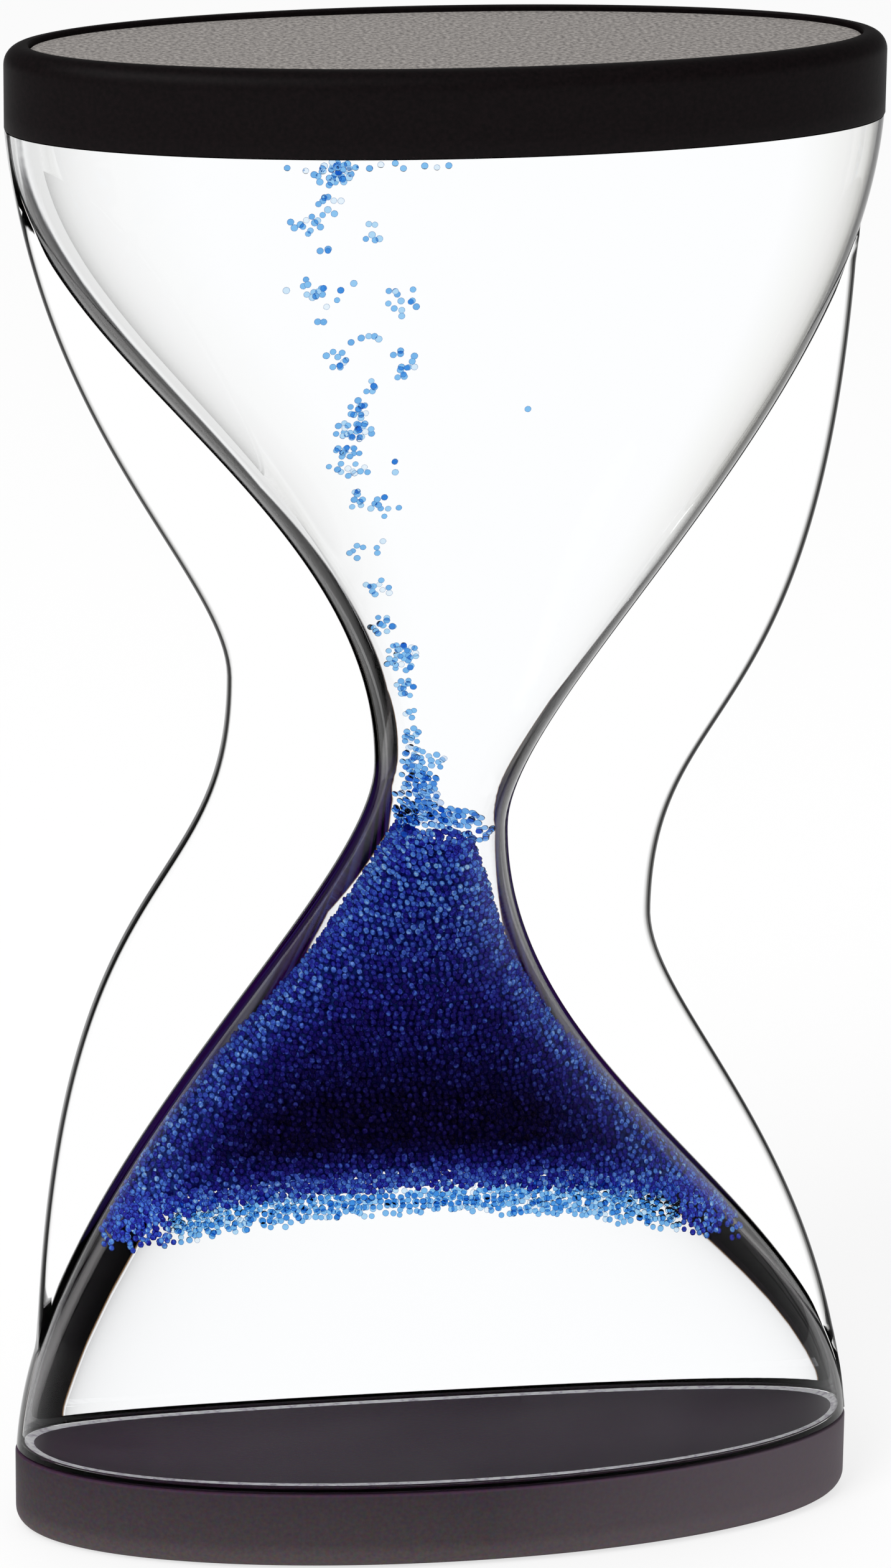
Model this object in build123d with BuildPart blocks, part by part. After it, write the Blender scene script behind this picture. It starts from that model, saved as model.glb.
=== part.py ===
"""Liquid hourglass: beads lighter than the liquid around them rise through a skewed oval chamber.

The clear body is moulded as a front and a back half that meet at the middle plane. Each half is
half a bulb with a flat web beside it. Two black caps close the ends: the rim of the body stands
in a groove of the cap, on a seal, and a raised platform inside the groove is the chamber's floor.
X is the width, Y the depth (the front looks along -Y), Z is up, and the origin is the middle of
the base. All sizes are in millimetres.
"""
import math
import os

from build123d import *

# ---- caps ----
overall_height = 130.0
cap_half_width = 36.5  # semi-axis of the oval along X
cap_half_depth = 14.2  # semi-axis of the oval along Y
cap_height = 7.0
edge_radius = 1.6  # rounded outer edge of the cap
rim_flat = 0.4  # flat ring that the hourglass stands on
skirt_wall = 1.0  # cap wall outside the groove
groove_depth = 4.0
platform_rise = 0.3  # how far the chamber's floor stands above the cap's rim
platform_wall = 1.4  # cap wall inside the groove, around the hollow underside
platform_plate = 2.0
rib_thickness = 1.2
rib_spacing = 17.0
pad_thickness = 0.8
pad_sink = 0.4  # how far the pad lies behind the rim
fit_clearance = 0.1
seal_thickness = 0.6

# ---- filler in the bottom cap ----
filler_bore_radius = 2.5
filler_boss_radius = 5.0
filler_head_radius = 3.8
filler_head_height = 1.2
filler_ring_radius = 0.6  # section of the sealing ring under the plug's head

# ---- clear body ----
body_inset = 0.1  # step from the cap's side to the body's side
rim_gap = 0.3  # shadow gap between the body's shoulder and the cap
body_wall = 2.0
web_half_thickness = 1.2
web_edge_radius = 0.9
neck_half_width = 5.5
neck_half_depth = 6.5
neck_skew = 2.6  # the left side of the neck is this far above middle height
web_waist_half_width = 18.2
web_waist_skew = 10.9  # the left side of the web's waist is this far above middle height
web_foot_inset = 1.75  # the web's lower end, inside the cap's side

# Pulls are the handle lengths of the side curves, measured along Z from the narrowest point and
# from the ends. A lean tilts the handle at an end, as sideways run over height.
bulb_pull_above_neck = 23.5
bulb_pull_below_neck = 11.3
bulb_pull_at_top = 18.9
bulb_pull_at_bottom = 25.2
bulb_lean = 0.07
web_pull_above_waist = 8.7
web_pull_below_waist = 21.5
web_pull_at_top = 25.4
web_pull_at_bottom = 55.5
web_lean_at_top = 0.1
depth_pull_at_neck = 20.0
depth_pull_at_end = 22.0
section_count = 15

# ---- beads ----
bead_radius = 0.3
bed_clearance = 0.3  # liquid between the bed and the chamber wall
bed_top_below_middle = 2.0
bed_hollow_height = 31.5  # top of the hollow that draining leaves in the underside of the bed
bed_hollow_radius = 56.0
path_clearance = 0.04  # liquid between a rising bead and the side of its path

# The stream of rising beads leans to the left on its way from the neck to the ceiling.
stream_foot = 0.9  # middle of the stream in the neck, left of the centre
stream_lean = 12.7  # drift to the left over the whole rise
neck_spread = 1.5  # half the stream's width in the neck
lower_spread = 1.7
middle_spread = 2.0
upper_spread = 2.4
side_spread = 2.2
side_offset = 7.6  # a second, thinner stream on the right of the main one
stray_offset = 14.3  # a single bead far to the right of the stream
risen_offset = 4.6  # beads under the ceiling, right of the stream's head
risen_spread = 6.5

# ---- levels and ovals that follow from the sizes above ----
middle = overall_height / 2
shoulder_z = cap_height + rim_gap
floor_z = cap_height + platform_rise
ceiling_z = overall_height - floor_z
groove_floor_z = cap_height - groove_depth
spigot_z = groove_floor_z + seal_thickness
pad_recess = pad_thickness + pad_sink
hollow_top_z = floor_z - platform_plate
body_half_width = cap_half_width - body_inset
body_half_depth = cap_half_depth - body_inset
recess_inset = edge_radius + rim_flat
spigot_inset = skirt_wall + fit_clearance
chamber_inset = body_inset + body_wall
platform_inset = chamber_inset + fit_clearance
hollow_inset = platform_inset + platform_wall
filler_seat_z = pad_recess + filler_head_height + 2 * filler_ring_radius

os.makedirs("parts", exist_ok=True)


def save(name, piece):
    """Label a finished piece and write it to its own file."""
    piece.part.label = name
    export_step(piece.part, f"parts/{name}.step")


def cap_oval(inset, mode=Mode.ADD):
    """The cap's oval outline, drawn in by the inset."""
    return Ellipse(cap_half_width - inset, cap_half_depth - inset, mode=mode)


def half_turn(point):
    """A point of the front view, turned by half a turn about the centre of the hourglass."""
    return (-point[0], overall_height - point[1])


def on_curve(points, t):
    """The point at share t along the cubic Bezier curve with these four control points."""
    weights = ((1 - t) ** 3, 3 * t * (1 - t) ** 2, 3 * t**2 * (1 - t), t**3)
    return tuple(sum(w * p[axis] for w, p in zip(weights, points)) for axis in (0, 1))


def across_at(points, z):
    """How far out the curve is at height z. Its heights rise steadily from end to end."""
    low, high = 0.0, 1.0
    for _ in range(40):
        share = (low + high) / 2
        if on_curve(points, share)[1] < z:
            low = share
        else:
            high = share
    return on_curve(points, low)[0]


# ---- side curves of the front view, from the bottom up, for the left side ----
body_top_z = overall_height - shoulder_z
neck_z = middle + neck_skew
bulb_below = [
    (-body_half_width, shoulder_z),
    (-body_half_width + bulb_lean * bulb_pull_at_bottom, shoulder_z + bulb_pull_at_bottom),
    (-neck_half_width, neck_z - bulb_pull_below_neck),
    (-neck_half_width, neck_z),
]
bulb_above = [
    (-neck_half_width, neck_z),
    (-neck_half_width, neck_z + bulb_pull_above_neck),
    (-body_half_width + bulb_lean * bulb_pull_at_top, body_top_z - bulb_pull_at_top),
    (-body_half_width, body_top_z),
]
waist_z = middle + web_waist_skew
web_foot = -cap_half_width + web_foot_inset
web_below = [
    (web_foot, shoulder_z),
    (web_foot, shoulder_z + web_pull_at_bottom),
    (-web_waist_half_width, waist_z - web_pull_below_waist),
    (-web_waist_half_width, waist_z),
]
web_above = [
    (-web_waist_half_width, waist_z),
    (-web_waist_half_width, waist_z + web_pull_above_waist),
    (-body_half_width + web_lean_at_top * web_pull_at_top, body_top_z - web_pull_at_top),
    (-body_half_width, body_top_z),
]
depth_curve = [
    (neck_half_depth, middle),
    (neck_half_depth, middle + depth_pull_at_neck),
    (body_half_depth, body_top_z - depth_pull_at_end),
    (body_half_depth, body_top_z),
]


def bulb_left(z):
    """Left side of the bulb's outer face at height z."""
    return across_at(bulb_below if z < neck_z else bulb_above, z)


def bulb_oval(z, inset):
    """Middle, half-width and half-depth of the bulb's section at height z, drawn in by the inset."""
    left = bulb_left(z)
    right = -bulb_left(overall_height - z)
    half_depth = across_at(depth_curve, middle + abs(z - middle))
    return (left + right) / 2, (right - left) / 2 - inset, half_depth - inset


def bulb(inset):
    """The bulb from shoulder to shoulder, as a loft through its horizontal sections."""
    with BuildPart() as lofted:
        for step in range(section_count):
            z = shoulder_z + (body_top_z - shoulder_z) * step / (section_count - 1)
            centre_x, half_width, half_depth = bulb_oval(z, inset)
            with BuildSketch(Plane.XY.offset(z)):
                with Locations((centre_x, 0)):
                    Ellipse(half_width, half_depth)
        loft()
    return lofted.part


# ---- caps: an oval tray with a groove for the body's rim, hollow and ribbed behind its pad ----
with BuildPart() as plain_cap:
    with BuildSketch(Plane.XY):
        cap_oval(0)
    extrude(amount=cap_height)
    fillet(edges().group_by(Axis.Z)[0], edge_radius)
    with BuildSketch(Plane.XY.offset(groove_floor_z)):
        cap_oval(skirt_wall)
    extrude(amount=groove_depth, mode=Mode.SUBTRACT)
    with BuildSketch(Plane.XY.offset(groove_floor_z)):
        cap_oval(platform_inset)
    extrude(amount=floor_z - groove_floor_z)
    with BuildSketch(Plane.XY):
        cap_oval(recess_inset)
    extrude(amount=pad_recess, mode=Mode.SUBTRACT)
    with BuildSketch(Plane.XY.offset(pad_recess)):
        cap_oval(hollow_inset)
        Rectangle(2 * cap_half_width, rib_thickness, mode=Mode.SUBTRACT)
        with GridLocations(rib_spacing, 0, 3, 1):
            Rectangle(rib_thickness, 2 * cap_half_depth, mode=Mode.SUBTRACT)
        Circle(filler_boss_radius, mode=Mode.SUBTRACT)
    extrude(amount=hollow_top_z - pad_recess, mode=Mode.SUBTRACT)

with BuildPart() as bottom_cap:
    add(plain_cap.part)
    with BuildSketch(Plane.XY):
        Circle(filler_bore_radius)
    extrude(amount=floor_z, mode=Mode.SUBTRACT)
    with BuildSketch(Plane.XY):
        Circle(filler_head_radius + fit_clearance)
    extrude(amount=filler_seat_z, mode=Mode.SUBTRACT)
save("bottom_cap", bottom_cap)

with BuildPart() as top_cap:
    add(plain_cap.part)
    mirror(about=Plane.XY.offset(middle), mode=Mode.REPLACE)
save("top_cap", top_cap)

# ---- filler plug with its sealing ring, hidden by the bottom pad ----
with BuildPart() as filler_plug:
    with BuildSketch(Plane.XY.offset(pad_recess)):
        Circle(filler_head_radius)
    extrude(amount=filler_head_height)
    chamfer(edges().group_by(Axis.Z)[0], rim_flat / 2)
    with BuildSketch(Plane.XY.offset(pad_recess + filler_head_height)):
        Circle(filler_bore_radius)
    extrude(amount=floor_z - pad_recess - filler_head_height)
save("filler_plug", filler_plug)

with BuildPart() as plug_ring:
    with BuildSketch(Plane.XY.offset(pad_recess + filler_head_height)):
        Circle(filler_bore_radius + 2 * filler_ring_radius)
        Circle(filler_bore_radius, mode=Mode.SUBTRACT)
    extrude(amount=2 * filler_ring_radius)
save("plug_ring", plug_ring)

# ---- grained non-slip pads in the recesses of both caps ----
with BuildPart() as bottom_pad:
    with BuildSketch(Plane.XY.offset(pad_sink)):
        cap_oval(recess_inset + fit_clearance)
    extrude(amount=pad_thickness)
save("bottom_pad", bottom_pad)

with BuildPart() as top_pad:
    add(bottom_pad.part)
    mirror(about=Plane.XY.offset(middle), mode=Mode.REPLACE)
save("top_pad", top_pad)

# ---- seals in the grooves, under the rims of the clear body ----
with BuildPart() as bottom_seal:
    with BuildSketch(Plane.XY.offset(groove_floor_z)):
        cap_oval(skirt_wall)
        cap_oval(platform_inset, mode=Mode.SUBTRACT)
    extrude(amount=seal_thickness)
save("bottom_seal", bottom_seal)

with BuildPart() as top_seal:
    add(bottom_seal.part)
    mirror(about=Plane.XY.offset(middle), mode=Mode.REPLACE)
save("top_seal", top_seal)

# ---- clear body: bulb, web and rims in one, then cut into its two halves ----
with BuildPart() as web:
    with BuildSketch(Plane.XZ):
        with BuildLine():
            Bezier(*web_below)
            Bezier(*web_above)
            Line(web_above[-1], half_turn(web_below[0]))
            Bezier(*[half_turn(point) for point in web_below])
            Bezier(*[half_turn(point) for point in web_above])
            Line(half_turn(web_above[-1]), web_below[0])
        make_face()
    extrude(amount=web_half_thickness, both=True)
    side_edges = edges().filter_by(GeomType.LINE, reverse=True)
    fillet(side_edges, web_edge_radius)

with BuildPart() as clear_body:
    add(bulb(0))
    add(web.part)
    for rim_z in (spigot_z, body_top_z):
        with BuildSketch(Plane.XY.offset(rim_z)):
            cap_oval(spigot_inset)
        extrude(amount=shoulder_z - spigot_z)
        with BuildSketch(Plane.XY.offset(rim_z)):
            cap_oval(chamber_inset)
        extrude(amount=shoulder_z - spigot_z, mode=Mode.SUBTRACT)

    add(bulb(body_wall), mode=Mode.SUBTRACT)

with BuildPart() as front_shell:
    add(clear_body.part)
    split(bisect_by=Plane.XZ, keep=Keep.TOP)
save("front_shell", front_shell)

with BuildPart() as back_shell:
    add(clear_body.part)
    split(bisect_by=Plane.XZ, keep=Keep.BOTTOM)
save("back_shell", back_shell)

# ---- bead bed under the neck: packed against the walls, hollowed below where it has drained ----
bed_top_z = middle - bed_top_below_middle
with BuildPart() as bead_bed:
    add(bulb(body_wall + bed_clearance))
    split(bisect_by=Plane.XY.offset(bed_top_z), keep=Keep.BOTTOM)
    split(bisect_by=Plane.XY.offset(floor_z), keep=Keep.TOP)
    with Locations((0, 0, bed_hollow_height - bed_hollow_radius)):
        Sphere(bed_hollow_radius, mode=Mode.SUBTRACT)
save("bead_bed", bead_bed)


def stream_bead(share, offset=0.0, reach=0.0, angle=0.0):
    """Centre of a bead at this share of the rise, moved off the leaning stream's middle."""
    x = offset - stream_foot - stream_lean * share + reach * math.cos(angle)
    return (x, reach * math.sin(angle), neck_z + (highest_bead_z - neck_z) * share)


def bead_swarm(low, high, count, spread, turn, offset=0.0):
    """Loose beads between two shares of the rise, winding outwards a golden angle apart."""
    golden_angle = math.pi * (3 - math.sqrt(5))
    swarm = []
    for step in range(count):
        part_way = (step + 0.5) / count
        reach = spread * math.sqrt(part_way)
        share = low + (high - low) * part_way
        swarm.append(stream_bead(share, offset, reach, turn + golden_angle * step))
    return swarm


# ---- loose beads: swarms on their way up, and those that already lie under the ceiling ----
# The turns keep each bead out of the upright path of the beads below it.
highest_bead_z = ceiling_z - bead_radius
swarms = {
    "neck_beads": bead_swarm(-0.03, 0.08, 6, neck_spread, turn=4.9),
    "lower_stream_beads": bead_swarm(0.08, 0.36, 6, lower_spread, turn=1.9),
    "middle_stream_beads": bead_swarm(0.36, 0.67, 7, middle_spread, turn=2.1),
    "upper_stream_beads": bead_swarm(0.67, 0.84, 6, upper_spread, turn=2.5),
    "side_stream_beads": bead_swarm(0.58, 0.82, 5, side_spread, turn=2.4, offset=side_offset),
}
swarms["middle_stream_beads"].append(stream_bead(0.595, stray_offset))
for name, centres in swarms.items():
    with BuildPart() as beads:
        with Locations(*centres):
            Sphere(bead_radius)
    save(name, beads)
    travel = highest_bead_z - path_clearance - max(z for x, y, z in centres)
    print(f"{name} can rise {travel:.2f} mm")

with BuildPart() as risen_beads:
    with Locations(*bead_swarm(1.0, 1.0, 9, risen_spread, turn=0.0, offset=risen_offset)):
        Sphere(bead_radius)
save("risen_beads", risen_beads)

# ---- liquid: fills the chamber around the beads, with a clear path above each rising bead ----
path_radius = bead_radius + path_clearance
with BuildPart() as carrier_liquid:
    add(bulb(body_wall))
    split(bisect_by=Plane.XY.offset(floor_z), keep=Keep.TOP)
    split(bisect_by=Plane.XY.offset(ceiling_z), keep=Keep.BOTTOM)
    add(bead_bed.part, mode=Mode.SUBTRACT)
    add(risen_beads.part, mode=Mode.SUBTRACT)
    for centres in swarms.values():
        climb = ceiling_z - max(z for x, y, z in centres)
        for x, y, z in centres:
            with BuildSketch(Plane.XY.offset(z - path_radius)):
                with Locations((x, y)):
                    Circle(path_radius)
            extrude(amount=climb + path_radius, mode=Mode.SUBTRACT)
save("carrier_liquid", carrier_liquid)
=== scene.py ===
"""Looks of the liquid hourglass: clear moulded body, grained black caps, blue beads in clear liquid.

Sizes are in millimetres and are turned to metres where a mesh is made. The lamp, the floor of the
stage and the camera are in metres. The places of the caps, the floor and the ceiling of the chamber
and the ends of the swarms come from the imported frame.
"""
import math
import random

import bmesh
import bpy
from mathutils import Matrix, Vector


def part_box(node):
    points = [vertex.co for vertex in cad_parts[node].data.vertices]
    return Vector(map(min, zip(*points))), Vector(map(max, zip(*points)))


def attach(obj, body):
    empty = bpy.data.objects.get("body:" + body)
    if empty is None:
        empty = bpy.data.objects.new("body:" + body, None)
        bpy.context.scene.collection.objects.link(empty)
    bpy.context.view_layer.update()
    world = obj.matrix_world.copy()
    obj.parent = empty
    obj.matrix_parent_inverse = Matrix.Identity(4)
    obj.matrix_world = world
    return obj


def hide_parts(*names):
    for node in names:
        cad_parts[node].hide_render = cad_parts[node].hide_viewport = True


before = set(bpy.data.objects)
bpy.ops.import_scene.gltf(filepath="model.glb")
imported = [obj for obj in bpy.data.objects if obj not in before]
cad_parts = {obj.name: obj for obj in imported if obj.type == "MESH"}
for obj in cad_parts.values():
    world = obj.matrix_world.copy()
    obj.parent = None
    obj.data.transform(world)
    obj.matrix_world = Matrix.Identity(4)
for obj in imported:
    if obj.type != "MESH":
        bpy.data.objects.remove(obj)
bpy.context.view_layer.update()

MM = 0.001
rng = random.Random(7)


def node_box(node):
    """Lowest and highest corner of a CAD node, in millimetres."""
    low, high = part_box(node)
    return [c / MM for c in low], [c / MM for c in high]


# ---- heights and ovals read from the frame ----
cap_high = node_box("bottom_cap")[1]
shell_low, shell_high = node_box("front_shell")
bed_low, bed_high = node_box("bead_bed")
overall_height = node_box("top_cap")[1][2]
middle = overall_height / 2
cap_half_width, cap_half_depth = cap_high[0], cap_high[1]
body_half_width = shell_high[0]
body_half_depth = -shell_low[1]
floor_z = cap_high[2]
ceiling_z = overall_height - floor_z
spigot_z = shell_low[2]
bed_top_z = bed_high[2]
bead_radius = (node_box("risen_beads")[1][2] - node_box("risen_beads")[0][2]) / 2

# ---- sizes of the mouldings and of the bed of beads ----
cap_height = 7.0
rim_gap = 0.3
shoulder_z = cap_height + rim_gap
edge_radius = 1.6
rim_flat = 0.4
recess_inset = edge_radius + rim_flat
spigot_inset = 1.1
chamber_inset = 2.1
groove_depth = 4.0
skirt_wall = 1.0
fit_clearance = 0.1
body_wall = 2.0
web_half_thickness = 1.2
web_edge_radius = 0.9
neck_half_width = 5.5
neck_half_depth = 6.5
neck_z = middle + 2.6
waist_z = middle + 10.9
web_foot_reach = 34.75
web_waist_reach = 18.2
bulb_lean = 0.07  # how far the ends of the bulb's and of the web's side lean in, for each mm of height
web_lean = 0.1
body_top_z = overall_height - shoulder_z
bed_clearance = 0.3
bed_hollow_top = 31.5
bed_hollow_radius = 56.0
wetting = 0.05  # the liquid reaches this far into its walls, so that no film of air shows

# ---- how the plastics and the liquid bend and mirror light ----
abs_ior = 1.54
styrene_ior = 1.57
oil_ior = 1.36
packed_bead_ior = 1.35
clear_gloss = "#1c1c1c"  # the clear parts mirror little of what is around them


# ---- small helpers ----
def srgb(code):
    """A #rrggbb colour as linear red, green, blue and full alpha."""
    channels = [int(code[i : i + 2], 16) / 255 for i in (1, 3, 5)]
    linear = [c / 12.92 if c <= 0.04045 else ((c + 0.055) / 1.055) ** 2.4 for c in channels]
    return (*linear, 1.0)


def clamped(value):
    """The value, kept between 0 and 1."""
    return min(1.0, max(0.0, value))


def add_node(tree, kind, settings=None, stops=(), **links):
    """Add a shader node: its settings, its (place, colour) stops, its socket values and links."""
    node = tree.nodes.new(kind)
    for name, value in (settings or {}).items():
        setattr(node, name, value)
    for _ in stops[2:]:
        node.color_ramp.elements.new(0.5)
    for number, (place_on_ramp, colour) in enumerate(stops):
        node.color_ramp.elements[number].position = place_on_ramp
        node.color_ramp.elements[number].color = srgb(colour)
    for name, value in links.items():
        socket = node.inputs[int(name[1:])] if name[1:].isdigit() else node.inputs[name.replace("_", " ")]
        if isinstance(value, bpy.types.NodeSocket):
            tree.links.new(value, socket)
        else:
            socket.default_value = value
    return node


# settings that many nodes share
PRODUCT = {"operation": "MULTIPLY"}
PRODUCT_AND_SUM = {"operation": "MULTIPLY_ADD"}
COLOUR_MIX = {"data_type": "RGBA"}
COLOUR_PRODUCT = {"data_type": "RGBA", "blend_type": "MULTIPLY"}


def new_material(name):
    """An empty node material and its output node."""
    material = bpy.data.materials.new(name)
    material.use_nodes = True
    tree = material.node_tree
    tree.nodes.clear()
    return material, tree, tree.nodes.new("ShaderNodeOutputMaterial")


def finish_mesh(name, vertices, faces, material, sharp_angle=None):
    """A smooth-shaded mesh object from points in millimetres."""
    mesh = bpy.data.meshes.new(name)
    mesh.from_pydata([(x * MM, y * MM, z * MM) for x, y, z in vertices], [], faces)
    mesh.validate()
    mesh.shade_smooth()
    if sharp_angle:
        mesh.set_sharp_from_angle(angle=math.radians(sharp_angle))
    mesh.materials.append(material)
    piece = bpy.data.objects.new(name, mesh)
    bpy.context.scene.collection.objects.link(piece)
    return piece


def place(piece, body, slot, *nodes):
    """Let the piece ride on a body and stand for the CAD nodes, which it hides. The slot is not used."""
    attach(piece, body)
    if nodes:
        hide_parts(*nodes)
    return piece


# ---- side curves of the front view ----
def on_curve(points, t):
    """The point at share t along a cubic Bezier curve."""
    weights = ((1 - t) ** 3, 3 * t * (1 - t) ** 2, 3 * t**2 * (1 - t), t**3)
    return [sum(w * p[axis] for w, p in zip(weights, points)) for axis in (0, 1)]


def across_at(points, z):
    """How far out the curve is at height z."""
    low, high = 0.0, 1.0
    for _ in range(30):
        share = (low + high) / 2
        if on_curve(points, share)[1] < z:
            low = share
        else:
            high = share
    return on_curve(points, low)[0]


bulb_below = [
    (-body_half_width, shoulder_z),
    (-body_half_width + bulb_lean * 25.2, shoulder_z + 25.2),
    (-neck_half_width, neck_z - 11.3),
    (-neck_half_width, neck_z),
]
bulb_above = [
    (-neck_half_width, neck_z),
    (-neck_half_width, neck_z + 23.5),
    (-body_half_width + bulb_lean * 18.9, body_top_z - 18.9),
    (-body_half_width, body_top_z),
]
web_below = [
    (-web_foot_reach, shoulder_z),
    (-web_foot_reach, shoulder_z + 55.5),
    (-web_waist_reach, waist_z - 21.5),
    (-web_waist_reach, waist_z),
]
web_above = [
    (-web_waist_reach, waist_z),
    (-web_waist_reach, waist_z + 8.7),
    (-body_half_width + web_lean * 25.4, body_top_z - 25.4),
    (-body_half_width, body_top_z),
]
depth_curve = [
    (neck_half_depth, middle),
    (neck_half_depth, middle + 20.0),
    (body_half_depth, body_top_z - 22.0),
    (body_half_depth, body_top_z),
]


def bulb_left(z):
    return across_at(bulb_below if z < neck_z else bulb_above, z)


def web_left(z):
    return across_at(web_below if z < waist_z else web_above, z)


def bulb_oval(z, inset):
    """Middle, half-width and half-depth of the bulb's section at height z."""
    left, right = bulb_left(z), -bulb_left(overall_height - z)
    half_depth = across_at(depth_curve, middle + abs(z - middle))
    return (left + right) / 2, (right - left) / 2 - inset, half_depth - inset


# ---- loops of points around the body ----
ARC_STEPS = 26
TIP_STEPS = 6
FLAT_STEPS = 6
FILLET_STEPS = 4
QUARTER = ARC_STEPS + TIP_STEPS + FLAT_STEPS + FILLET_STEPS
FILLET = 0.35


def quarter_outline(reach, half_width, half_depth):
    """One quarter of the section with its web, from the web's tip to the middle of the front.

    Points are (distance from the bulb's middle, depth). The web's tip is rounded, and a small
    fillet joins the web to the oval. Where the web ends inside the oval, only the oval is left.
    """
    half = web_half_thickness
    start_angle = math.asin(min(1.0, half / half_depth))
    junction = half_width * math.cos(start_angle)
    points = []
    if reach > junction + 0.02:
        radius = min(web_edge_radius, (reach - junction) * 0.9)
        for step in range(TIP_STEPS):
            y = half * step / TIP_STEPS
            over = max(0.0, y - (half - radius))
            along = reach - radius + math.sqrt(max(0.0, radius**2 - over**2))
            points.append((along, y))
        end = reach - radius
        fillet = min(FILLET, (end - junction) * 0.4)
        for step in range(FLAT_STEPS):
            points.append((end + (junction + fillet - end) * step / FLAT_STEPS, half))
        turn = start_angle + fillet / half_depth
        oval_point = (half_width * math.cos(turn), half_depth * math.sin(turn))
        for step in range(FILLET_STEPS):
            t = step / FILLET_STEPS
            corner = (junction, half)
            begin = (junction + fillet, half)
            x = (1 - t) ** 2 * begin[0] + 2 * t * (1 - t) * corner[0] + t**2 * oval_point[0]
            y = (1 - t) ** 2 * begin[1] + 2 * t * (1 - t) * corner[1] + t**2 * oval_point[1]
            points.append((x, y))
    else:
        turn = start_angle
        count = TIP_STEPS + FLAT_STEPS + FILLET_STEPS
        for step in range(count):
            angle = turn * step / count
            points.append((half_width * math.cos(angle), half_depth * math.sin(angle)))
    for step in range(ARC_STEPS):
        angle = turn + (math.pi / 2 - turn) * step / ARC_STEPS
        points.append((half_width * math.cos(angle), half_depth * math.sin(angle)))
    return points


def outer_loop(z):
    """Closed loop around bulb and web at height z, from the right tip by the back to the left."""
    centre, half_width, half_depth = bulb_oval(z, 0)
    right = quarter_outline(-web_left(overall_height - z) - centre, half_width, half_depth)
    left = quarter_outline(centre - web_left(z), half_width, half_depth)
    loop = [(centre + x, y, z) for x, y in right]
    loop.append((centre, half_depth, z))
    loop += [(centre - x, y, z) for x, y in reversed(left)]
    loop += [(centre - x, -y, z) for x, y in left[1:]]
    loop.append((centre, -half_depth, z))
    loop += [(centre + x, -y, z) for x, y in reversed(right[1:])]
    return loop


def oval_loop(centre, half_width, half_depth, z, count=4 * QUARTER):
    """Closed loop around an oval."""
    return [
        (
            centre + half_width * math.cos(math.tau * step / count),
            half_depth * math.sin(math.tau * step / count),
            z,
        )
        for step in range(count)
    ]


def cap_loop(inset, z, count=4 * QUARTER):
    """Closed loop around the cap's oval, drawn in by the inset."""
    return oval_loop(0, cap_half_width - inset, cap_half_depth - inset, z, count)


def skin(loops, closed=False, bottom=False, top=False):
    """Vertices and faces of a skin over loops of equal length, with flat ends where asked."""
    size = len(loops[0])
    vertices = [point for loop in loops for point in loop]
    faces = []
    rows = len(loops) if closed else len(loops) - 1
    for row in range(rows):
        here, there = row * size, (row + 1) % len(loops) * size
        for step in range(size):
            following = (step + 1) % size
            faces.append((here + step, here + following, there + following, there + step))
    if bottom:
        faces += fan(vertices, 0, size, loops[0], flip=True)
    if top:
        faces += fan(vertices, (len(loops) - 1) * size, size, loops[-1], flip=False)
    return vertices, faces


def fan(vertices, start, size, loop, flip):
    """Triangles from a loop to a new point in its middle."""
    middle_point = [sum(point[axis] for point in loop) / size for axis in range(3)]
    vertices.append(tuple(middle_point))
    hub = len(vertices) - 1
    triangles = []
    for step in range(size):
        ends = (start + step, start + (step + 1) % size)
        triangles.append((*reversed(ends), hub) if flip else (*ends, hub))
    return triangles


def spread(low, high, count):
    """Evenly spread values from low to high, both included."""
    return [low + (high - low) * step / (count - 1) for step in range(count)]


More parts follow.
